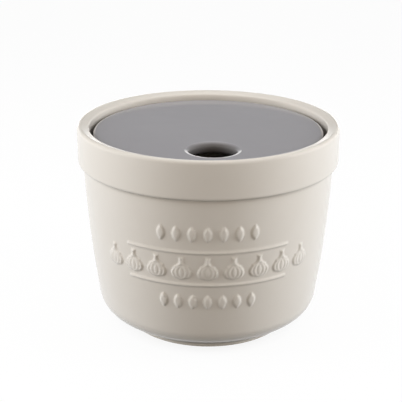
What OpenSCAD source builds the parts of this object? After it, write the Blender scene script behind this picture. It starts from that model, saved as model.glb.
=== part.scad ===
// Garlic keeper: a stoneware pot with a wide collar, and a lid that sits down inside the
// collar on a ledge. The pot and the lid are the two fired pieces.
// Millimetres. +Z is up, -Y is the front, and the origin is under the middle of the foot ring.
// Both bodies are revolves, so their outlines are drawn as radius along X and height along Y.
// The pot has a frieze in relief on its front, and the lid has grating teeth underneath.

/* [Pot] */
// Outer diameter of the collar
collar_d = 130; // [115:1:150]
// Height of the pot, from the table to its crown
pot_h = 103.4; // [90:0.2:125]
// Height of the collar band
collar_h = 18.8; // [16:0.1:24]
// How far the collar stands out from the wall below it
collar_step = 2.6; // [2.4:0.1:4]
// Thickness of the collar
collar_t = 6; // [5.8:0.1:8]
// Radius of the wall's long bow from collar to heel
wall_bow_r = 630; // [400:10:900]
// Lean of the wall where it meets the collar, in degrees from upright
wall_lean = 1.9; // [0:0.1:4]
// Thickness of the wall
wall_t = 7.5; // [6.5:0.1:9]
// Radius of the heel, the outer corner between wall and underside
heel_r = 10.8; // [7:0.2:14]
// Radius of the inner corner between wall and floor
floor_corner_r = 10; // [6:0.5:14]
// Thickness of the floor over the hollow of the foot
floor_t = 7; // [5:0.5:10]

/* [Foot ring] */
// Outer diameter of the foot ring
foot_d = 85; // [70:1:88]
// Height of the foot ring, from the table to the pot's underside
foot_h = 4.4; // [3.4:0.1:7]
// Width of the foot ring
foot_w = 5.5; // [4:0.1:8]
// Depth of the hollow inside the foot ring
foot_hollow = 3; // [2.5:0.1:3.3]

/* [Relief on the front] */
// How far the bulbs and cloves stand out from the wall
relief_h = 0.7; // [0.3:0.1:1]
// Height of one bulb of garlic in the frieze
bulb_h = 11; // [8:0.2:12]
// Number of bulbs in the frieze
bulb_count = 9; // [3:2:11]
// Angle from one bulb to the next, in degrees
bulb_step = 11.6; // [11:0.2:14]
// Distance from the lower rule to the upper rule
rule_spacing = 16.8; // [15:0.2:18]
// Radius of a rule's rounded section
rule_r = 1; // [0.8:0.1:1.4]
// How far the rules stand out from the wall
rule_h = 0.6; // [0.3:0.1:0.7]
// Angle that the rules span, in degrees
rule_span = 74; // [40:1:120]
// Height of one clove in the rows above and below the rules
clove_h = 7; // [5:0.2:8]
// Width of one clove
clove_w = 3.4; // [2.4:0.1:4.4]
// Number of cloves in a row
clove_count = 7; // [3:2:11]
// Angle from one clove to the next, in degrees
clove_step = 6.8; // [6:0.2:9]
// Distance from the middle of the frieze to the middle of a row of cloves
row_offset = 17.6; // [15:0.2:19]

/* [Seat for the lid] */
// Depth of the ledge that carries the lid, below the crown
ledge_depth = 15.4; // [12.5:0.1:17]
// Gap between the lid's edge and the collar, all round
lid_gap = 1.8; // [0.8:0.1:2.2]

/* [Lid] */
// Height of the lid, from its skirt's resting face to its top
lid_h = 11.6; // [9.6:0.1:14]
// Thickness of the lid's plate
lid_plate_t = 5.6; // [4.4:0.1:6.6]
// Width of the lid's skirt
lid_skirt_w = 5; // [4:0.1:6.5]
// Diameter of the finger hole
hole_d = 21.6; // [16:0.2:24]
// Distance of the finger hole from the middle of the lid
hole_offset = 34.8; // [28:0.2:35.6]
// How far round the finger hole is from the front, towards +X, in degrees
hole_turn = 3.6; // [-180:0.2:180]

/* [Grater under the lid] */
// Height of a grating tooth
tooth_h = 2; // [1:0.1:2.6]
// Diameter of a tooth at its root
tooth_d = 2.6; // [1.6:0.1:3]
// Diameter of a tooth at its tip
tooth_tip_d = 0.6; // [0.3:0.1:1.2]
// Distance from one ring of teeth to the next, and about that from tooth to tooth
tooth_pitch = 4; // [3.8:0.1:4.4]
// Number of rings of teeth around the middle tooth
tooth_rings = 5; // [2:1:5]
// Distance of the middle tooth from the middle of the lid, away from the finger hole
grater_offset = 8; // [0:0.5:12]

/* [Rounded edges] */
// Radius on the outer side of the crown
crown_outer_r = 1.8; // [0.8:0.1:2]
// Radius on the inner side of the crown
crown_inner_r = 3.8; // [0.8:0.1:4]
// Radius on the collar's lower edge
collar_edge_r = 1.6; // [0.4:0.1:1.8]
// Fillet between the wall and the collar's underside
collar_fillet_r = 0.6; // [0.3:0.1:0.7]
// Radius on the edges of the ledge, and of its inner corner
ledge_edge_r = 0.8; // [0.4:0.1:1]
// Radius on the foot ring's edges
foot_edge_r = 0.9; // [0.4:0.1:1.5]
// Fillets beside the foot ring, outside and in the hollow
foot_fillet_r = 0.6; // [0.3:0.1:1.2]
// Radius on the lid's top edge
lid_edge_r = 1.5; // [0.8:0.1:2.5]
// Radius on the skirt's resting edges
skirt_edge_r = 0.6; // [0.3:0.1:1]
// Fillet between the lid's plate and its skirt
lid_fillet_r = 3; // [1:0.1:3.6]
// Radius on the finger hole's upper edge
hole_upper_r = 2.4; // [1:0.1:2.6]
// Radius on the finger hole's lower edge
hole_lower_r = 1.4; // [0.6:0.1:1.6]

/* [Hidden] */
$fn = 96;
// Sides of the circle that draws the wall's long bow
bow_fn = 1440;
// How far a piece of outline reaches past the edge that it works on
bite = 1;
// How far a tooth's root reaches into the plate
root = 0.5;
// How deep behind the widest part of the wall a motif starts, before it is cut to the wall
motif_depth = 12;

cream = [0.84, 0.81, 0.76];
grey = [0.58, 0.57, 0.58];

out = [1, 0];
in = [-1, 0];
up = [0, 1];
down = [0, -1];

collar_r = collar_d / 2;
collar_z = pot_h - collar_h;
wall_top_r = collar_r - collar_step;
// Middle of the circle that the wall's bow is part of
bow_x = wall_top_r - wall_bow_r * cos(wall_lean);
bow_z = collar_z + wall_bow_r * sin(wall_lean);
foot_r = foot_d / 2;
foot_inner_r = foot_r - foot_w;
floor_z = foot_hollow + floor_t;
// The frieze lies midway up the wall
frieze_z = (foot_h + heel_r + collar_z) / 2;
seat_r = collar_r - collar_t;
ledge_z = pot_h - ledge_depth;
lid_r = seat_r - lid_gap;
lid_top_z = ledge_z + lid_h;
plate_z = lid_top_z - lid_plate_t;
skirt_inner_r = lid_r - lid_skirt_w;
hole_r = hole_d / 2;
hole_pos = [hole_offset * sin(hole_turn), -hole_offset * cos(hole_turn), 0];

// Radius at height z of the bow moved outward by shift
function bow_r_at(z, shift) = bow_x + sqrt(pow(wall_bow_r + shift, 2) - pow(z - bow_z, 2));

// Direction in which the bow faces a point
function bow_dir(p) = (p - [bow_x, bow_z]) / norm(p - [bow_x, bow_z]);

// The disc that ends at the bow moved outward by shift
module bow_disc(shift) {
    translate([bow_x, bow_z])
        circle(r = wall_bow_r + shift, $fn = bow_fn);
}

// An upright rectangle between two radii and two heights
module band(r_in, r_out, z_low, z_high) {
    translate([r_in, z_low])
        square([r_out - r_in, z_high - z_low]);
}

// What lies past the arc of radius r about the point c, anticlockwise from one direction to the
// other. Taken away, it rounds an edge. Put on, it fills a hollow corner to a fillet.
module past_arc(c, r, dir_a, dir_b) {
    reach = r + bite;
    difference() {
        polygon([c, c + reach * dir_a, c + reach * (dir_a + dir_b), c + reach * dir_b]);
        translate(c)
            circle(r = r);
    }
}

// Wall and base, closed inside, from the underside to a little above the collar's lower edge
module wall_outline() {
    heel_z = foot_h + heel_r;
    heel_c = [bow_r_at(heel_z, -heel_r), heel_z];
    fillet_z = collar_z - collar_fillet_r;
    fillet_c = [bow_r_at(fillet_z, collar_fillet_r), fillet_z];
    difference() {
        intersection() {
            bow_disc(0);
            band(0, collar_r, foot_h, collar_z + bite);
        }
        past_arc(heel_c, heel_r, down, bow_dir(heel_c));
    }
    past_arc(fillet_c, collar_fillet_r, up, -bow_dir(fillet_c));
}

module collar_outline() {
    crown_c = [collar_r - crown_outer_r, pot_h - crown_outer_r];
    edge_c = [collar_r - collar_edge_r, collar_z + collar_edge_r];
    difference() {
        band(0, collar_r, collar_z, pot_h);
        past_arc(crown_c, crown_outer_r, out, up);
        past_arc(edge_c, collar_edge_r, down, out);
    }
}

module foot_outline() {
    outer_c = [foot_r - foot_edge_r, foot_edge_r];
    fillet_c = [foot_r + foot_fillet_r, foot_h - foot_fillet_r];
    difference() {
        band(0, foot_r, 0, foot_h + bite);
        past_arc(outer_c, foot_edge_r, down, out);
    }
    past_arc(fillet_c, foot_fillet_r, up, in);
}

module foot_hollow_outline() {
    inner_c = [foot_inner_r + foot_edge_r, foot_edge_r];
    fillet_c = [foot_inner_r - foot_fillet_r, foot_hollow - foot_fillet_r];
    difference() {
        band(0, foot_inner_r, -bite, foot_hollow);
        past_arc(fillet_c, foot_fillet_r, out, up);
    }
    past_arc(inner_c, foot_edge_r, in, down);
}

// The room for the garlic, and above the ledge the room for the lid
module inside_outline() {
    corner_z = floor_z + floor_corner_r;
    corner_c = [bow_r_at(corner_z, -wall_t - floor_corner_r), corner_z];
    mouth_z = ledge_z - ledge_edge_r;
    mouth_c = [bow_r_at(mouth_z, -wall_t + ledge_edge_r), mouth_z];
    seat_c = [seat_r - ledge_edge_r, ledge_z + ledge_edge_r];
    crown_c = [seat_r + crown_inner_r, pot_h - crown_inner_r];
    difference() {
        intersection() {
            bow_disc(-wall_t);
            band(0, collar_r, floor_z, ledge_z + bite);
        }
        past_arc(corner_c, floor_corner_r, down, bow_dir(corner_c));
    }
    past_arc(mouth_c, ledge_edge_r, up, -bow_dir(mouth_c));
    difference() {
        band(0, seat_r, ledge_z, pot_h + bite);
        past_arc(seat_c, ledge_edge_r, down, out);
    }
    past_arc(crown_c, crown_inner_r, up, in);
}

// The outline of a clove, where two discs overlap
module clove_outline(w, h) {
    disc_r = (w * w + h * h) / (4 * w);
    intersection() {
        translate([disc_r - w / 2, 0])
            circle(r = disc_r);
        translate([w / 2 - disc_r, 0])
            circle(r = disc_r);
    }
}

// The outline of a bulb: three round cloves under a neck that flares at its top, with a groove
// round the clove in the middle
module bulb_outline(h) {
    middle_r = 0.33 * h;
    side_r = 0.25 * h;
    side_x = 0.17 * h;
    base_y = -h / 2 + middle_r;
    neck_w = 0.13 * h;
    neck_curve_r = 0.29 * h;
    neck_y = 0.38 * h;
    groove_w = 0.05 * h;
    front_w = 0.22 * h;
    front_h = 0.48 * h;
    difference() {
        union() {
            translate([0, base_y])
                circle(r = middle_r);
            for (side = [-1, 1])
                translate([side * side_x, base_y - 0.03 * h])
                    circle(r = side_r);
            difference() {
                translate([-neck_curve_r, base_y])
                    square([2 * neck_curve_r, h / 2 - base_y]);
                for (side = [-1, 1])
                    translate([side * (neck_w / 2 + neck_curve_r), neck_y])
                        circle(r = neck_curve_r);
            }
        }
        translate([0, base_y])
            difference() {
                clove_outline(front_w + 2 * groove_w, front_h + 2 * groove_w);
                clove_outline(front_w, front_h);
            }
    }
}

// Raises a flat outline on the wall, at an angle from the front and a height
module raised(turn, z) {
    intersection() {
        rotate([0, 0, turn])
            translate([0, -wall_top_r + motif_depth, z])
                rotate([90, 0, 0])
                    linear_extrude(motif_depth + collar_step)
                        children();
        rotate_extrude()
            difference() {
                intersection() {
                    bow_disc(relief_h);
                    band(0, collar_r, foot_h + heel_r, collar_z - bite);
                }
                bow_disc(-bite);
            }
    }
}

// A rounded line along the wall, across the front
module rule(z) {
    rotate([0, 0, -90 - rule_span / 2])
        rotate_extrude(angle = rule_span)
            translate([bow_r_at(z, rule_h - rule_r), z])
                circle(r = rule_r);
}

// A row of bulbs between two rules, and a row of cloves above and below them
module relief() {
    for (i = [0 : bulb_count - 1])
        raised((i - (bulb_count - 1) / 2) * bulb_step, frieze_z)
            bulb_outline(bulb_h);
    for (side = [-1, 1]) {
        rule(frieze_z + side * rule_spacing / 2);
        for (i = [0 : clove_count - 1])
            raised((i - (clove_count - 1) / 2) * clove_step, frieze_z + side * row_offset)
                clove_outline(clove_w, clove_h);
    }
}

module pot() {
    color(cream) {
        rotate_extrude()
            difference() {
                union() {
                    wall_outline();
                    collar_outline();
                    foot_outline();
                }
                foot_hollow_outline();
                inside_outline();
            }
        relief();
    }
}

// Half of the lid's section: a plate with a skirt that stands on the ledge
module lid_outline() {
    top_c = [lid_r - lid_edge_r, lid_top_z - lid_edge_r];
    rest_outer_c = [lid_r - skirt_edge_r, ledge_z + skirt_edge_r];
    rest_inner_c = [skirt_inner_r + skirt_edge_r, ledge_z + skirt_edge_r];
    fillet_c = [skirt_inner_r - lid_fillet_r, plate_z - lid_fillet_r];
    difference() {
        band(0, lid_r, ledge_z, lid_top_z);
        difference() {
            band(0, skirt_inner_r, ledge_z - bite, plate_z);
            past_arc(fillet_c, lid_fillet_r, out, up);
        }
        past_arc(top_c, lid_edge_r, out, up);
        past_arc(rest_outer_c, skirt_edge_r, down, out);
        past_arc(rest_inner_c, skirt_edge_r, in, down);
    }
}

// The finger hole as a solid, flared at both faces of the plate
module finger_hole() {
    upper_c = [hole_r + hole_upper_r, lid_top_z - hole_upper_r];
    lower_c = [hole_r + hole_lower_r, plate_z + hole_lower_r];
    translate(hole_pos)
        rotate_extrude()
            union() {
                band(0, hole_r, plate_z - bite, lid_top_z + bite);
                past_arc(upper_c, hole_upper_r, up, in);
                past_arc(lower_c, hole_lower_r, in, down);
            }
}

// A blunt cone that points down from the plate, with its root a little way inside it
module tooth() {
    growth = (tooth_d - tooth_tip_d) / tooth_h;
    translate([0, 0, plate_z - tooth_h])
        cylinder(h = tooth_h + root, d1 = tooth_tip_d, d2 = tooth_d + growth * root, $fn = 24);
}

// Teeth in rings round a middle tooth. Turned over, the lid grates garlic.
module grater() {
    translate(-hole_pos * grater_offset / hole_offset) {
        tooth();
        for (ring = [1 : tooth_rings], i = [0 : 6 * ring - 1])
            rotate([0, 0, 60 * i / ring])
                translate([ring * tooth_pitch, 0, 0])
                    tooth();
    }
}

module lid() {
    color(grey) {
        difference() {
            rotate_extrude()
                lid_outline();
            finger_hole();
        }
        grater();
    }
}

pot();
lid();
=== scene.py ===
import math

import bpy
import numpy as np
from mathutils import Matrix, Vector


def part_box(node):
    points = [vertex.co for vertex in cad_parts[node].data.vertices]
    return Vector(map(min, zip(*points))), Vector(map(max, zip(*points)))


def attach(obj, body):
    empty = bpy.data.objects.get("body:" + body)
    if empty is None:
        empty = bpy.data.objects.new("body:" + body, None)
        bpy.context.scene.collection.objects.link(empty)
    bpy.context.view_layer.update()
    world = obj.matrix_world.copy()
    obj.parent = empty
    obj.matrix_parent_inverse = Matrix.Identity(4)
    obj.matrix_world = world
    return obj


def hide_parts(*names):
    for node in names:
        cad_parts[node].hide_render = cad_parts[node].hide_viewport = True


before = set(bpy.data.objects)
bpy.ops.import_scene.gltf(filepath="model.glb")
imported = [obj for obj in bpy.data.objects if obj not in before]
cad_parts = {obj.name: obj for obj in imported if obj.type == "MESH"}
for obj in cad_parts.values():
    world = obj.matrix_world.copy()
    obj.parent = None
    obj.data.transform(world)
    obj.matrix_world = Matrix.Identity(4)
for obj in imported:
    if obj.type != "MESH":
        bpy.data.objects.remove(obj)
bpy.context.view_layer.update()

# Garlic keeper: a cream-glazed stoneware pot and its grey lid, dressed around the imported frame.
# The object's lengths are in millimetres and turn into metres where a mesh or a shader takes them.
# The stage's lengths, from the floor to the lamps, are in metres.
# Angles round the pot are measured from the front, which is -Y, and grow towards +X.

MM = 0.001

# ------------------------------------------------------------------- sizes from the frame's boxes
COLLAR_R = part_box("pot")[1][0] / MM
POT_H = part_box("pot")[1][2] / MM
LEDGE_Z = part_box("lid")[0][2] / MM
LID_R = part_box("lid")[1][0] / MM
LID_TOP_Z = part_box("lid")[1][2] / MM

# ---------------------------------------------------------- sizes that the frame's boxes don't tell
COLLAR_H = 18.8
COLLAR_STEP = 2.6
COLLAR_T = 6.0
COLLAR_EDGE_R = 1.6
COLLAR_FILLET_R = 0.6
CROWN_OUTER_R = 1.8
CROWN_INNER_R = 1.2
CROWN_SLOPE = math.radians(18.0)
LEDGE_EDGE_R = 0.8
# The wall is a shallow bow, which leans inwards from the collar down
BOW_R = 630.0
WALL_LEAN = math.radians(1.9)
WALL_T = 7.5
FLOOR_CORNER_R = 10.0
FLOOR_T = 7.0
HEEL_R = 10.8
# How far the heel's underside lies over the foot's height
HEEL_RISE = 1.3
FOOT_R = 42.5
FOOT_H = 4.4
FOOT_W = 5.5
FOOT_HOLLOW = 3.0
FOOT_EDGE_R = 0.9
FOOT_FILLET_R = 0.6
LID_EDGE_R = 1.5
HOLE_R = 10.8
HOLE_EDGE_R = 2.4
HOLE_OFFSET = 34.8
HOLE_TURN = math.radians(3.6)

COLLAR_Z = POT_H - COLLAR_H
WALL_TOP_R = COLLAR_R - COLLAR_STEP
BOW_X = WALL_TOP_R - BOW_R * math.cos(WALL_LEAN)
BOW_Z = COLLAR_Z + BOW_R * math.sin(WALL_LEAN)
SEAT_R = COLLAR_R - COLLAR_T
FLOOR_Z = FOOT_HOLLOW + FLOOR_T
HOLE_PLACE = (HOLE_OFFSET * math.sin(HOLE_TURN), -HOLE_OFFSET * math.cos(HOLE_TURN), 0.0)

# ----------------------------------------------------------------- the relief on the pot's front
FRIEZE_Z = (FOOT_H + HEEL_R + COLLAR_Z) / 2.0
RELIEF_H = 0.7
BULB_H = 11.0
BULB_COUNT = 9
BULB_STEP = math.radians(11.6)
RULE_SPACING = 16.8
RULE_H = 0.6
RULE_HALF_W = 1.25
RULE_SPAN = math.radians(74.0)
CLOVE_H = 7.0
CLOVE_W = 3.4
CLOVE_COUNT = 7
CLOVE_STEP = math.radians(6.8)
CLOVE_ROW_OFFSET = 17.6
# The middle clove of a bulb is a disc, whose centre lies BULB_BASE_V over the bulb's own centre
BULB_MIDDLE_R = 0.33 * BULB_H
BULB_BASE_V = -BULB_H / 2.0 + BULB_MIDDLE_R
# How softly a bulb's side cloves and its neck melt into the middle one
CLOVES_MELT = 0.4
NECK_MELT = 0.6
# Width and height of the outlines between a bulb's cloves, as shares of its height
BULB_GROOVES = ((0.24, 0.56), (0.60, 0.66))
# A groove's depth as a share of the relief's height, its half width, and its fade at the outline
GROOVE_DEPTH = 0.4
GROOVE_HALF_W = 0.38
GROOVE_FADE = 0.9
# How softly the glaze rounds a motif's edge, and how far its middle swells, at what distance in
EDGE_SOFT = 1.1
PILLOW = 0.25
PILLOW_REACH = 3.0

# ------------------------------------------------------------------------ steps of the pot's mesh
# The fine part carries the relief, between two heights and as far to each side of the front
RELIEF_Z = (27.0, 74.0)
RELIEF_HALF_ANGLE = math.radians(57.0)
FINE_STEP = 0.42
FINE_TURN = math.radians(0.42)
# The rest of the wall, outside and inside, and the turn from column to column round the back
WALL_STEP = 1.6
INNER_STEP = 4.0
COARSE_TURN = math.radians(3.0)
# Rings on the flat middle by radius, on the foot's side by height and on the collar by height
# over its lower edge
MIDDLE_RINGS = (8.0, 24.0)
FOOT_RINGS = (1.2, 1.5, 1.8, 2.4, 3.1)
COLLAR_RINGS = (2.0, 5.0, 10.0)
# How near two lengths are when they count as the same
TOUCH = 0.01


def smooth_step(x):
    """0 up to x = 0, 1 from x = 1, and a soft rise in between."""
    x = np.clip(x, 0.0, 1.0)
    return x * x * (3.0 - 2.0 * x)


def bow_r_at(z, shift=0.0):
    """Radius at height z of the wall's bow, moved outward by shift."""
    return BOW_X + np.sqrt((BOW_R + shift) ** 2 - (z - BOW_Z) ** 2)


# ---------------------------------------------------------------------- the relief as a height map
def circle_dist(u, v, cu, cv, r):
    return np.hypot(u - cu, v - cv) - r


def lens_dist(u, v, w, h):
    """Distance from a clove's outline: where two discs overlap."""
    disc_r = (w * w + h * h) / (4.0 * w)
    shift = disc_r - w / 2.0
    return np.maximum(circle_dist(u, v, shift, 0.0, disc_r), circle_dist(u, v, -shift, 0.0, disc_r))


def soft_min(a, b, k):
    """The lesser of two distances, with the corner between them rounded over k."""
    blend = np.clip(0.5 + 0.5 * (b - a) / k, 0.0, 1.0)
    return b + (a - b) * blend - k * blend * (1.0 - blend)


def bulb_dist(u, v):
    """Distance from the outline of a bulb of garlic: a crown of cloves under a neck."""
    side_r, side_x, side_drop = 0.25 * BULB_H, 0.17 * BULB_H, 0.03 * BULB_H
    neck_half_w, neck_curve_r, neck_v = 0.065 * BULB_H, 0.29 * BULB_H, 0.38 * BULB_H
    body = circle_dist(u, v, 0.0, BULB_BASE_V, BULB_MIDDLE_R)
    for side in (-1, 1):
        clove = circle_dist(u, v, side * side_x, BULB_BASE_V - side_drop, side_r)
        body = soft_min(body, clove, CLOVES_MELT)
    neck = np.maximum(np.abs(u) - neck_curve_r, np.maximum(v - BULB_H / 2.0, BULB_BASE_V - v))
    for side in (-1, 1):
        hollow = circle_dist(u, v, side * (neck_half_w + neck_curve_r), neck_v, neck_curve_r)
        neck = np.maximum(neck, -hollow)
    return soft_min(body, neck, NECK_MELT)


def raised(dist, height):
    """A motif's height over the wall: a soft edge and a slight pillow."""
    edge = smooth_step(0.5 - dist / EDGE_SOFT)
    pillow = PILLOW * smooth_step(-dist / PILLOW_REACH)
    return height * edge * (1.0 + pillow)


def bulb_height(u, v):
    dist = bulb_dist(u, v)
    out = raised(dist, RELIEF_H)
    for w, h in BULB_GROOVES:
        groove = lens_dist(u, v - BULB_BASE_V, w * BULB_H, h * BULB_H)
        inside = smooth_step(-dist / GROOVE_FADE)
        out -= GROOVE_DEPTH * RELIEF_H * np.exp(-(groove / GROOVE_HALF_W) ** 2) * inside
    return out


def row_turns(count, step):
    """Angles of a row's motifs, centred on the front."""
    return [(i - (count - 1) / 2.0) * step for i in range(count)]


def relief_height(angle, z):
    """Height of the relief over the wall at an angle from the front and a height."""
    r = bow_r_at(z)
    out = np.zeros_like(z)
    for turn in row_turns(BULB_COUNT, BULB_STEP):
        out = np.maximum(out, bulb_height(r * (angle - turn), z - FRIEZE_Z))
    for row_z in (FRIEZE_Z - CLOVE_ROW_OFFSET, FRIEZE_Z + CLOVE_ROW_OFFSET):
        for turn in row_turns(CLOVE_COUNT, CLOVE_STEP):
            clove = lens_dist(r * (angle - turn), z - row_z, CLOVE_W, CLOVE_H)
            out = np.maximum(out, raised(clove, RELIEF_H))
    for rule_z in (FRIEZE_Z - RULE_SPACING / 2.0, FRIEZE_Z + RULE_SPACING / 2.0):
        past_end = np.maximum(np.abs(angle) - RULE_SPAN / 2.0, 0.0) * r
        across = np.hypot(past_end, z - rule_z) / RULE_HALF_W
        out = np.maximum(out, RULE_H * smooth_step(1.0 - across))
    return out


# ---------------------------------------------------------------------------------- mesh building
def arc(c, r, start, end, steps=8):
    """Points of an arc, with angles in degrees anticlockwise from outward."""
    a = np.radians(np.linspace(start, end, steps + 1))
    return np.column_stack([c[0] + r * np.cos(a), c[1] + r * np.sin(a)])


def bow(z_from, z_to, shift, step):
    """Points up or down the wall's bow."""
    z = np.linspace(z_from, z_to, max(2, int(abs(z_to - z_from) / step) + 1))
    return np.column_stack([bow_r_at(z, shift), z])


def bow_angle(c):
    """Angle in degrees at which the bow faces the point c."""
    return math.degrees(math.atan2(c[1] - BOW_Z, c[0] - BOW_X))


def on_bow(z, shift):
    """A point beside the bow at height z, and the angle at which the bow faces it."""
    c = (bow_r_at(z, shift), z)
    return c, bow_angle(c)


def pot_outline():
    """The pot's section as radius and height, from under the middle, out, up, in and down."""
    foot_in = FOOT_R - FOOT_W
    foot_top = FOOT_H + HEEL_RISE
    heel_c, heel_a = on_bow(foot_top + HEEL_R, -HEEL_R)
    fillet_c, fillet_a = on_bow(COLLAR_Z - COLLAR_FILLET_R, COLLAR_FILLET_R)
    mouth_c, mouth_a = on_bow(LEDGE_Z - LEDGE_EDGE_R, LEDGE_EDGE_R - WALL_T)
    corner_c, corner_a = on_bow(FLOOR_Z + FLOOR_CORNER_R, -WALL_T - FLOOR_CORNER_R)
    wall_from = heel_c[1] + HEEL_R * math.sin(math.radians(heel_a))
    wall_to = fillet_c[1] - COLLAR_FILLET_R * math.sin(math.radians(fillet_a))
    inner_from = mouth_c[1] - LEDGE_EDGE_R * math.sin(math.radians(mouth_a))
    inner_to = corner_c[1] + FLOOR_CORNER_R * math.sin(math.radians(corner_a))
    # The crown falls inwards along a line that touches both of its edges
    crown_outer_c = (COLLAR_R - CROWN_OUTER_R, POT_H - CROWN_OUTER_R)
    crown_inner_r = SEAT_R + CROWN_INNER_R
    crown_drop = (crown_outer_c[0] - crown_inner_r) * math.tan(CROWN_SLOPE)
    crown_drop -= (CROWN_OUTER_R - CROWN_INNER_R) / math.cos(CROWN_SLOPE)
    crown_inner_c = (crown_inner_r, crown_outer_c[1] - crown_drop)
    crown_turn = 90.0 + math.degrees(CROWN_SLOPE)
    foot_fillet_c = (foot_in - FOOT_FILLET_R, FOOT_HOLLOW - FOOT_FILLET_R)
    heel_fillet_c = (FOOT_R + FOOT_FILLET_R, foot_top - FOOT_FILLET_R)
    collar_edge_c = (COLLAR_R - COLLAR_EDGE_R, COLLAR_Z + COLLAR_EDGE_R)
    ledge_c = (SEAT_R - LEDGE_EDGE_R, LEDGE_Z + LEDGE_EDGE_R)
    parts = [
        [(r, FOOT_HOLLOW) for r in MIDDLE_RINGS],
        arc(foot_fillet_c, FOOT_FILLET_R, 90, 0, steps=5),
        arc((foot_in + FOOT_EDGE_R, FOOT_EDGE_R), FOOT_EDGE_R, 180, 270),
        arc((FOOT_R - FOOT_EDGE_R, FOOT_EDGE_R), FOOT_EDGE_R, 270, 360),
        [(FOOT_R, z) for z in FOOT_RINGS],
        arc(heel_fillet_c, FOOT_FILLET_R, 180, 90, steps=5),
        arc(heel_c, HEEL_R, 270, 360 + heel_a, steps=22),
        bow(wall_from, RELIEF_Z[0], 0.0, WALL_STEP)[1:-1],
        bow(RELIEF_Z[0], RELIEF_Z[1], 0.0, FINE_STEP),
        bow(RELIEF_Z[1], wall_to, 0.0, WALL_STEP)[1:-1],
        arc(fillet_c, COLLAR_FILLET_R, 180 + fillet_a, 90, steps=5),
        arc(collar_edge_c, COLLAR_EDGE_R, 270, 360),
        [(COLLAR_R, COLLAR_Z + z) for z in COLLAR_RINGS],
        arc(crown_outer_c, CROWN_OUTER_R, 0, crown_turn, steps=12),
        arc(crown_inner_c, CROWN_INNER_R, crown_turn, 180, steps=10),
        arc(ledge_c, LEDGE_EDGE_R, 0, -90, steps=6),
        arc(mouth_c, LEDGE_EDGE_R, 90, 180 + mouth_a, steps=6),
        bow(inner_from, inner_to, -WALL_T, INNER_STEP)[1:-1],
        arc(corner_c, FLOOR_CORNER_R, corner_a, -90, steps=12),
        [(r, FLOOR_Z) for r in reversed(MIDDLE_RINGS)],
    ]
    return np.vstack(parts)


def pot_turns():
    """Angles of the mesh's columns: fine over the relief, coarse round the back."""
    fine = int(round(2.0 * RELIEF_HALF_ANGLE / FINE_TURN))
    front = np.linspace(-RELIEF_HALF_ANGLE, RELIEF_HALF_ANGLE, fine + 1)
    rest = 2.0 * math.pi - 2.0 * RELIEF_HALF_ANGLE
    coarse = int(round(rest / COARSE_TURN))
    back = np.linspace(RELIEF_HALF_ANGLE, RELIEF_HALF_ANGLE + rest, coarse + 1)[1:-1]
    return np.concatenate([front, back])


def new_object(name, verts, faces):
    mesh = bpy.data.meshes.new(name)
    mesh.from_pydata(verts, [], faces)
    obj = bpy.data.objects.new(name, mesh)
    bpy.context.scene.collection.objects.link(obj)
    return obj


def revolve(name, outline, turns, lift):
    """A closed mesh of revolution, and the radius that lift adds at each of its vertices.

    The outline's ends are closed by a fan round a point on the axis.
    """
    rows, cols = len(outline), len(turns)
    r = np.repeat(outline[:, 0], cols)
    z = np.repeat(outline[:, 1], cols)
    angle = np.tile(turns, rows)
    added = lift(angle, r, z)
    r = r + added
    grid = np.column_stack([r * np.sin(angle), -r * np.cos(angle), z])
    first_pole = (0.0, 0.0, outline[0, 1])
    last_pole = (0.0, 0.0, outline[-1, 1])
    verts = np.vstack([grid, first_pole, last_pole]) * MM
    index = np.arange(rows * cols).reshape(rows, cols)
    right = np.roll(index, -1, axis=1)
    quads = np.stack([index[:-1], right[:-1], right[1:], index[1:]], axis=-1).reshape(-1, 4)
    first_fan = [(rows * cols, int(b), int(a)) for a, b in zip(index[0], right[0])]
    last_fan = [(rows * cols + 1, int(a), int(b)) for a, b in zip(index[-1], right[-1])]
    obj = new_object(name, verts.tolist(), quads.tolist() + first_fan + last_fan)
    obj.data.validate()
    obj.data.update()
    obj.data.polygons.foreach_set("use_smooth", [True] * len(obj.data.polygons))
    return obj, np.append(added, [0.0, 0.0])


def radius_and_height(obj):
    """Each vertex's distance from the axis and its height, in millimetres."""
    co = np.empty(len(obj.data.vertices) * 3)
    obj.data.vertices.foreach_get("co", co)
    x, y, z = co.reshape(-1, 3).T / MM
    return np.hypot(x, y), z


def add_attribute(obj, name, values):
    attribute = obj.data.attributes.new(name, "FLOAT", "POINT")
    attribute.data.foreach_set("value", np.asarray(values, dtype=np.float32))


# -------------------------------------------------------------------------------- glaze and shade
def linear(r, g, b):
    """A colour given as 0-255 screen values, as the shader's linear one."""
    def one(c):
        c = c / 255.0
        return c / 12.92 if c <= 0.04045 else ((c + 0.055) / 1.055) ** 2.4
    return (one(r), one(g), one(b), 1.0)


# Each glaze where it is thin, plain and thick, and its roughness
CREAM_GLAZE = (linear(228, 222, 213), linear(223, 217, 208), linear(217, 210, 199))
CREAM_ROUGHNESS = 0.2
GREY_GLAZE = (linear(163, 161, 164), linear(158, 156, 159), linear(153, 151, 154))
GREY_ROUGHNESS = 0.14
ROUGHNESS_SPREAD = (-0.03, 0.05)
# The fired clay's darker and lighter grains, how far up the unglazed rings reach, how far they
# fade, and how high and low their edge strays
CLAY = (linear(196, 180, 156), linear(222, 210, 190))
CLAY_H = 0.5
CLAY_FADE = 0.15
CLAY_STRAY = 0.25
# Scale and detail of each cloudy pattern, from slow drifts of colour down to the clay's grit
DRIFT = (9.0, 2.0)
CLOUDS = (28.0, 3.0)
WAVES = (45.0, 2.0)
SHEEN = (60.0, 4.0)
STRAY = (120.0, 2.0)
PINHOLES = (900.0, 2.0)
GRIT = (1600.0, 3.0)
# Most that drift and clouds change the colour by
DRIFT_SHARE = 0.3
CLOUDS_SHARE = 0.35
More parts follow.
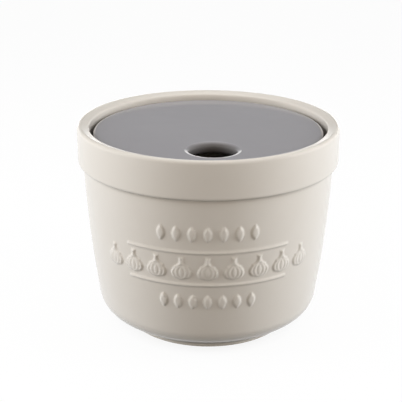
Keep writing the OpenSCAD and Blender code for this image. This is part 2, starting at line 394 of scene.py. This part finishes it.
# Strength of a bump and its height in metres
WAVES_BUMP = (0.12, 0.0012)
PINHOLES_BUMP = (0.04, 0.0002)

# The cream glaze breaks paler over the relief: how much, from which share of the relief's height,
# and over what share more
RELIEF_PALE = linear(238, 233, 225)
RELIEF_BREAK = 0.3
RELIEF_BREAK_FROM = 0.6
RELIEF_BREAK_OVER = 0.5
# It is darker round the relief's foot, where the relief reaches this share of its height
DARKER_AND_SHADE = linear(150, 141, 126)
RELIEF_FOOT_DARK = 0.15
RELIEF_FOOT_AT = 0.12
# Painted shade darkens it under the collar and above the foot: how much, and over what height
COLLAR_SHADE = 0.4
COLLAR_SHADE_H = 2.5
ABOVE_FOOT_SHADE = 0.1
ABOVE_FOOT_SHADE_H = 3.5
# Shade beside the lid, which deepens from the lid's top down and reaches a little over the ledge
SHADE = linear(48, 44, 39)
SEAT_SHADE = 0.9
SEAT_SHADE_H = 3.0
SEAT_SHADE_IN = 1.0
# Shade under the heel, which deepens downwards from its height
HEEL_SHADE = 0.35
HEEL_SHADE_Z = 9.3
HEEL_SHADE_H = 1.8
# Shade on the foot's side, which deepens upwards from its height
FOOT_SHADE = 0.6
FOOT_SHADE_Z = 1.2
FOOT_SHADE_H = 1.2
# Where the foot's side ends and the heel's underside begins, out from the foot
FOOT_SKIN = 0.5

# Each pair below gives where a look starts or ends and where it is full or gone.
# A painted highlight lies on the lid's edge as a pale line, at both sides and mostly behind the
# middle. A line's place is given by where it starts, is full, starts to fade and ends, all measured
# outwards from a radius
EDGE_HIGHLIGHT = linear(238, 235, 232)
EDGE_HIGHLIGHT_SHARE = 0.75
EDGE_LINE = (-1.5, -1.1, -0.4, -0.1)
EDGE_SIDE_X = (0.6 * LID_R, 0.85 * LID_R)
EDGE_BACK_Y = (-12.0, 0.0)
# Painted shade darkens the lid's side below its rounded edge
SIDE_SHADE = linear(52, 50, 48)
SIDE_SHADE_R = (LID_R - 0.2, LID_R - 0.1)
SIDE_SHADE_Z = (LID_TOP_Z - 2.5 * LID_EDGE_R, LID_TOP_Z - LID_EDGE_R)
# Painted shade darkens the finger hole, and more deep down
HOLE_SHADE_SHARE = 0.9
HOLE_SHADE = (linear(112, 109, 107), linear(30, 27, 25))
HOLE_SHADE_R = (HOLE_R + 0.1 * HOLE_EDGE_R, HOLE_R + 0.8 * HOLE_EDGE_R)
HOLE_SHADE_Z = (LID_TOP_Z - 5.0, LID_TOP_Z - 1.8)
# A painted highlight, a pale ring, lies round the front half of the finger hole
RING_R = HOLE_R + HOLE_EDGE_R
RING_HIGHLIGHT = linear(248, 246, 244)
RING_HIGHLIGHT_SHARE = 0.85
RING_LINE = (-1.0, -0.5, 0.1, 0.4)
RING_FRONT_Y = (HOLE_PLACE[1] - 0.25 * RING_R, HOLE_PLACE[1])


class Shader:
    """A material's node tree, with a short way to add and link nodes."""

    def __init__(self, name):
        self.material = bpy.data.materials.new(name)
        self.material.use_nodes = True
        self.tree = self.material.node_tree
        self.surface = self.tree.nodes["Principled BSDF"]
        self.coords = self.tree.nodes.new("ShaderNodeTexCoord").outputs["Object"]

    def feed(self, socket, value):
        """Links another node's socket, or sets a plain value."""
        if isinstance(value, bpy.types.NodeSocket):
            self.tree.links.new(value, socket)
        else:
            socket.default_value = value

    def set(self, name, value):
        self.feed(self.surface.inputs[name], value)

    def node(self, kind, inputs=None, **settings):
        made = self.tree.nodes.new("ShaderNode" + kind)
        for key, value in settings.items():
            setattr(made, key, value)
        for key, value in (inputs or {}).items():
            self.feed(made.inputs[key], value)
        return made

    def noise(self, scale, detail):
        """Cloudy values round 0.5, with about scale clouds in a metre."""
        inputs = {"Vector": self.coords, "Scale": scale, "Detail": detail, "Roughness": 0.5}
        return self.node("TexNoise", inputs).outputs["Fac"]

    def ranged(self, value, low, high, to_low, to_high):
        """The value, with low to high mapped onto to_low to to_high and held beyond them."""
        inputs = {"Value": value, "From Min": low, "From Max": high,
                  "To Min": to_low, "To Max": to_high}
        return self.node("MapRange", inputs).outputs["Result"]

    def rise(self, length, low, high):
        """0 to 1 as a length goes from low to high, both in millimetres."""
        return self.ranged(length, low * MM, high * MM, 0.0, 1.0)

    def fall(self, length, low, high):
        """1 to 0 as a length goes from low to high, both in millimetres."""
        return self.ranged(length, low * MM, high * MM, 1.0, 0.0)

    def line(self, length, radius, places):
        """1 in a line along a radius, fading to 0 on both sides."""
        start, full, until, end = (radius + place for place in places)
        return self.math("MULTIPLY", self.rise(length, start, full), self.fall(length, until, end))

    def math(self, operation, *values):
        return self.node("Math", dict(enumerate(values)), operation=operation).outputs[0]

    def vector(self, operation, *values):
        return self.node("VectorMath", dict(enumerate(values)), operation=operation).outputs

    def distance(self, place):
        """How far a point is from an upright axis through a place."""
        offset = self.vector("SUBTRACT", self.coords, [c * MM for c in place])[0]
        flat = self.vector("MULTIPLY", offset, (1.0, 1.0, 0.0))[0]
        return self.vector("LENGTH", flat)["Value"]

    def mix(self, factor, a, b):
        return self.node("Mix", {0: factor, 6: a, 7: b}, data_type="RGBA").outputs[2]

    def mix_share(self, factor, share, a, b):
        """Mixes a with as much of b as the factor and the share multiplied."""
        return self.mix(self.math("MULTIPLY", factor, share), a, b)

    def bump(self, height, strength, distance, **below):
        inputs = {"Height": height, "Strength": strength, "Distance": distance}
        return self.node("Bump", {**inputs, **below}).outputs["Normal"]

    def attribute(self, name):
        return self.node("Attribute", attribute_name=name).outputs["Fac"]


def glaze(name, thin, body, thick, roughness):
    """A glaze over stoneware, with soft clouds of colour, a slight waviness and fine pinholes."""
    s = Shader(name)
    clouds = s.ranged(s.noise(*CLOUDS), 0.35, 0.65, 0.0, CLOUDS_SHARE)
    drift = s.ranged(s.noise(*DRIFT), 0.4, 0.7, 0.0, DRIFT_SHARE)
    colour = s.mix(drift, s.mix(clouds, body, thick), thin)
    smoothest, roughest = (roughness + spread for spread in ROUGHNESS_SPREAD)
    s.set("Roughness", s.ranged(s.noise(*SHEEN), 0.3, 0.7, smoothest, roughest))
    waves = s.bump(s.noise(*WAVES), *WAVES_BUMP)
    s.set("Normal", s.bump(s.noise(*PINHOLES), *PINHOLES_BUMP, Normal=waves))
    return s, colour


def below_height(s, z, fade):
    """1 under a height, fading to 0 over a little way, along a slightly uneven line."""
    stray = s.math("MULTIPLY_ADD", s.noise(*STRAY), 2.0 * CLAY_STRAY * MM, -CLAY_STRAY * MM)
    line = s.math("ADD", s.node("SeparateXYZ", {0: s.coords}).outputs["Z"], stray)
    return s.fall(line, z, z + fade)


def bare_clay(s, colour, ring_z):
    """Shows the fired clay on the ring that a piece stands on: buff, matt and gritty."""
    grit = s.ranged(s.noise(*GRIT), 0.4, 0.6, 0.0, 1.0)
    return s.mix(below_height(s, ring_z + CLAY_H, CLAY_FADE), colour, s.mix(grit, *CLAY))


def pot_material():
    s, colour = glaze("pot_cream_glaze", *CREAM_GLAZE, CREAM_ROUGHNESS)
    colour = s.mix_share(s.attribute("glaze_break"), RELIEF_BREAK, colour, RELIEF_PALE)
    # Darker round the relief's foot, and painted shade under the collar and above the foot
    colour = s.mix(s.attribute("relief_dark_and_painted_shade"), colour, DARKER_AND_SHADE)
    colour = s.mix(s.attribute("shade"), colour, SHADE)
    s.set("Base Color", bare_clay(s, colour, 0.0))
    return s.material


def lid_material():
    s, colour = glaze("lid_grey_glaze", *GREY_GLAZE, GREY_ROUGHNESS)
    x, y, height = s.node("SeparateXYZ", {0: s.coords}).outputs
    from_axis = s.distance((0.0, 0.0, 0.0))
    from_hole = s.distance(HOLE_PLACE)
    # Painted highlight: a pale line along the lid's edge, at its sides and behind the middle
    at_side = s.rise(s.math("ABSOLUTE", x), *EDGE_SIDE_X)
    at_side = s.math("MULTIPLY", at_side, s.rise(y, *EDGE_BACK_Y))
    edge = s.math("MULTIPLY", s.line(from_axis, LID_R, EDGE_LINE), at_side)
    colour = s.mix_share(edge, EDGE_HIGHLIGHT_SHARE, colour, EDGE_HIGHLIGHT)
    # Painted shade on the lid's side below its rounded edge
    below_edge = s.fall(height, *SIDE_SHADE_Z)
    colour = s.mix_share(below_edge, s.rise(from_axis, *SIDE_SHADE_R), colour, SIDE_SHADE)
    # Painted shade in the finger hole, darker deep down
    painted_hole_shade = s.mix(s.fall(height, *HOLE_SHADE_Z), *HOLE_SHADE)
    colour = s.mix_share(s.fall(from_hole, *HOLE_SHADE_R), HOLE_SHADE_SHARE, colour, painted_hole_shade)
    # Painted highlight round the front half of the finger hole
    ring = s.math("MULTIPLY", s.line(from_hole, RING_R, RING_LINE), s.fall(y, *RING_FRONT_Y))
    colour = s.mix_share(ring, RING_HIGHLIGHT_SHARE, colour, RING_HIGHLIGHT)
    s.set("Base Color", bare_clay(s, colour, LEDGE_Z))
    return s.material


# ----------------------------------------------------------------------------------------- pieces
def relief_lift(angle, r, z):
    """The radius that the relief adds at each vertex of the wall's outside."""
    front_angle = (angle + math.pi) % (2.0 * math.pi) - math.pi
    in_relief = (np.abs(r - bow_r_at(z)) < TOUCH) & (np.abs(front_angle) < RELIEF_HALF_ANGLE)
    in_relief &= (z > RELIEF_Z[0]) & (z < RELIEF_Z[1])
    out = np.zeros_like(r)
    out[in_relief] = relief_height(front_angle[in_relief], z[in_relief])
    return out


def relief_dark_and_painted_shade(r, z, added, raised_share):
    """How dark each vertex is: darker round the relief's foot, and painted shade under the collar
    and above the foot.
    """
    at_relief_foot = 1.0 - np.abs(raised_share - RELIEF_FOOT_AT) / RELIEF_FOOT_AT
    round_relief = RELIEF_FOOT_DARK * smooth_step(at_relief_foot) * (added > 0.0)
    outside = (r > bow_r_at(z) - 1.0) & (r < WALL_TOP_R + COLLAR_FILLET_R)
    below_collar = smooth_step(1.0 - (COLLAR_Z - z) / COLLAR_SHADE_H) * (z < COLLAR_Z + TOUCH)
    above_foot = ABOVE_FOOT_SHADE * smooth_step((FOOT_H + ABOVE_FOOT_SHADE_H - z) / ABOVE_FOOT_SHADE_H)
    return np.maximum.reduce([round_relief, COLLAR_SHADE * below_collar * outside, above_foot])


def shade(r, z):
    """How dark each vertex lies: beside the lid, under the heel and on the foot below it."""
    by_lid = SEAT_SHADE * smooth_step((LID_TOP_Z - z) / SEAT_SHADE_H)
    by_lid *= (np.abs(r - SEAT_R) < SEAT_SHADE_IN) & (z > LEDGE_Z - TOUCH)
    under_heel = HEEL_SHADE * smooth_step((HEEL_SHADE_Z - z) / HEEL_SHADE_H)
    under_heel *= (z > FOOT_H) & (r > FOOT_R + FOOT_SKIN)
    on_foot = FOOT_SHADE * smooth_step((z - FOOT_SHADE_Z) / FOOT_SHADE_H)
    on_foot *= (z < FOOT_H + HEEL_RISE + FOOT_SKIN) & (np.abs(r - FOOT_R) < FOOT_SKIN)
    return np.maximum.reduce([by_lid, under_heel, on_foot])


def make_pot():
    pot, added = revolve("pot_body", pot_outline(), pot_turns(), relief_lift)
    raised_share = np.clip(added / RELIEF_H, 0.0, 1.0)
    r, z = radius_and_height(pot)
    glaze_break = smooth_step((raised_share - RELIEF_BREAK_FROM) / RELIEF_BREAK_OVER)
    add_attribute(pot, "glaze_break", glaze_break)
    # Darker round the relief's foot, and painted shade under the collar and above the foot
    add_attribute(pot, "relief_dark_and_painted_shade", relief_dark_and_painted_shade(r, z, added, raised_share))
    add_attribute(pot, "shade", shade(r, z))
    pot.data.materials.append(pot_material())
    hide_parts("pot")
    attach(pot, "pot")


def dress_lid():
    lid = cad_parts["lid"]
    material = lid_material()
    lid.data.materials.clear()
    lid.data.materials.append(material)


# -------------------------------------------------------------------------------- stage and lamps
FLOOR_HALF_W = 4.0
# How pale the floor shows, how much light it gives back, and how much of its look is plain white
FLOOR_PALE = 0.95
FLOOR_BOUNCE = 0.1
FLOOR_GLOW = 0.95
# Share of the plain white that is left beside the foot, and the millimetres until it is back
FLOOR_SHADE = 0.9
FLOOR_SHADE_W = 8.0
# The low wall round the stage
BACKDROP_R = 3.9
BACKDROP_H = 0.85
BACKDROP_SIDES = 64
# How much light the room and its low wall give
ROOM_LIGHT = 0.25
WHITE = (1, 1, 1, 1)
COOL_LIGHT = (0.97, 1.0, 1.04)
WARM_LIGHT = (1.0, 0.76, 0.50)
NEUTRAL_LIGHT = (1.0, 0.99, 0.98)
# Place, width and height, radiance and colour of each softbox; all face the pot
SIDE_LAMP = ((0.594, -0.1, 0.2), (0.42, 0.6), 5.5, COOL_LIGHT)
FRONT_LAMP = ((0.0, -1.1, 0.5), (1.0, 0.6), 1.3, WARM_LIGHT)
TOP_LAMP = ((0.0, 0.3, 1.0), (1.0, 0.8), 1.3, NEUTRAL_LIGHT)
LOW_LAMP = ((0.0, 1.5, 0.09), (1.4, 0.18), 3.0, NEUTRAL_LIGHT)
LAMP_TARGET = (0.0, 0.0, 0.06)


def seen_rays(s):
    """A socket that is 1 for rays that show the stage: straight, mirrored or through glass."""
    paths = s.node("LightPath").outputs
    seen = s.math("MAXIMUM", paths["Is Camera Ray"], paths["Is Glossy Ray"])
    return s.math("MAXIMUM", seen, paths["Is Transmission Ray"])


def show(s, surface):
    s.tree.links.new(surface, s.tree.nodes["Material Output"].inputs["Surface"])


def floor_material():
    """Pale ground that shows near white, and still takes the object's soft shadow."""
    s = Shader("floor_white")
    seen = seen_rays(s)
    given_back, shown = ((level,) * 3 + (1.0,) for level in (FLOOR_BOUNCE, FLOOR_PALE))
    s.set("Base Color", s.mix(seen, given_back, shown))
    s.set("Roughness", 0.9)
    s.set("Specular IOR Level", 0.0)
    white = s.node("Emission", {"Color": WHITE, "Strength": 1.0}).outputs[0]
    from_foot = (FOOT_R * MM, (FOOT_R + FLOOR_SHADE_W) * MM)
    by_foot = s.ranged(s.distance((0.0, 0.0, 0.0)), *from_foot, FLOOR_SHADE, 1.0)
    share = s.math("MULTIPLY", s.math("MULTIPLY", seen, by_foot), FLOOR_GLOW)
    show(s, s.node("MixShader", {0: share, 1: s.surface.outputs[0], 2: white}).outputs[0])
    return s.material


def make_floor():
    w = FLOOR_HALF_W
    floor = new_object("floor", [(-w, -w, 0), (w, -w, 0), (w, w, 0), (-w, w, 0)], [(0, 1, 2, 3)])
    floor.data.materials.append(floor_material())


def make_backdrop():
    """A low round wall at the floor's end, which shows white and lights like the room."""
    turns = np.linspace(0.0, 2.0 * math.pi, BACKDROP_SIDES + 1)[:-1]
    ring = [(BACKDROP_R * math.cos(a), BACKDROP_R * math.sin(a)) for a in turns]
    verts = [(x, y, z) for z in (0.0, BACKDROP_H) for x, y in ring]
    n = BACKDROP_SIDES
    faces = [(i, (i + 1) % n, n + (i + 1) % n, n + i) for i in range(n)]
    backdrop = new_object("backdrop", verts, faces)
    s = Shader("backdrop_white")
    glow = s.ranged(seen_rays(s), 0.0, 1.0, ROOM_LIGHT, 1.0)
    show(s, s.node("Emission", {"Color": WHITE, "Strength": glow}).outputs[0])
    backdrop.data.materials.append(s.material)


def make_world():
    """A pale even room."""
    world = bpy.data.worlds.new("studio")
    bpy.context.scene.world = world
    world.use_nodes = True
    background = world.node_tree.nodes["Background"]
    background.inputs["Color"].default_value = WHITE
    background.inputs["Strength"].default_value = ROOM_LIGHT


def link_aimed(obj, place, target):
    """Puts a lamp or the camera at a place, upright and facing a target."""
    direction = np.array(target) - np.array(place)
    obj.location = place
    yaw = math.atan2(-direction[0], direction[1])
    pitch = math.atan2(math.hypot(direction[0], direction[1]), -direction[2])
    obj.rotation_euler = (pitch, 0.0, yaw)
    bpy.context.scene.collection.objects.link(obj)


def softbox(name, place, size, radiance, colour, mirrored):
    """A rectangular lamp of an even radiance, where 1 is as bright as white paper in plain light.

    mirrored says whether the glaze shows it as a highlight.
    """
    light = bpy.data.lights.new(name, "AREA")
    light.shape = "RECTANGLE"
    light.size, light.size_y = size
    light.energy = radiance * math.pi * size[0] * size[1]
    light.color = colour
    lamp = bpy.data.objects.new(name, light)
    lamp.visible_glossy = mirrored
    link_aimed(lamp, place, LAMP_TARGET)


def make_softboxes():
    (side_x, *side_yz), *side_rest = SIDE_LAMP
    softbox("right_softbox", *SIDE_LAMP, mirrored=False)
    softbox("left_softbox", (-side_x, *side_yz), *side_rest, mirrored=False)
    softbox("front_softbox", *FRONT_LAMP, mirrored=False)
    softbox("top_softbox", *TOP_LAMP, mirrored=True)
    softbox("low_softbox", *LOW_LAMP, mirrored=True)


# The photo's view: half a metre from a point on the pot's axis, in millimetres, and rolled a little
CAMERA_ELEVATION = math.radians(20.45)
CAMERA_DISTANCE = 500.0
CAMERA_TARGET_Z = 60.6
CAMERA_ROLL = math.radians(0.3)
CAMERA_LENS = 87.47
CAMERA_SENSOR_W = 36.0
CAMERA_SHIFT = (-0.0174, 0.002)


def make_camera():
    camera = bpy.data.cameras.new("camera")
    camera.sensor_width = CAMERA_SENSOR_W
    camera.lens = CAMERA_LENS
    camera.shift_x, camera.shift_y = CAMERA_SHIFT
    camera.clip_start = 0.01
    obj = bpy.data.objects.new("camera", camera)
    back = CAMERA_DISTANCE * math.cos(CAMERA_ELEVATION)
    up = CAMERA_DISTANCE * math.sin(CAMERA_ELEVATION)
    place = (0.0, -back * MM, (CAMERA_TARGET_Z + up) * MM)
    link_aimed(obj, place, (0.0, 0.0, CAMERA_TARGET_Z * MM))
    obj.rotation_euler.rotate_axis("Z", CAMERA_ROLL)
    bpy.context.scene.camera = obj


make_camera()
make_pot()
dress_lid()
make_floor()
make_backdrop()
make_world()
make_softboxes()

bpy.context.scene.view_settings.view_transform = "Standard"
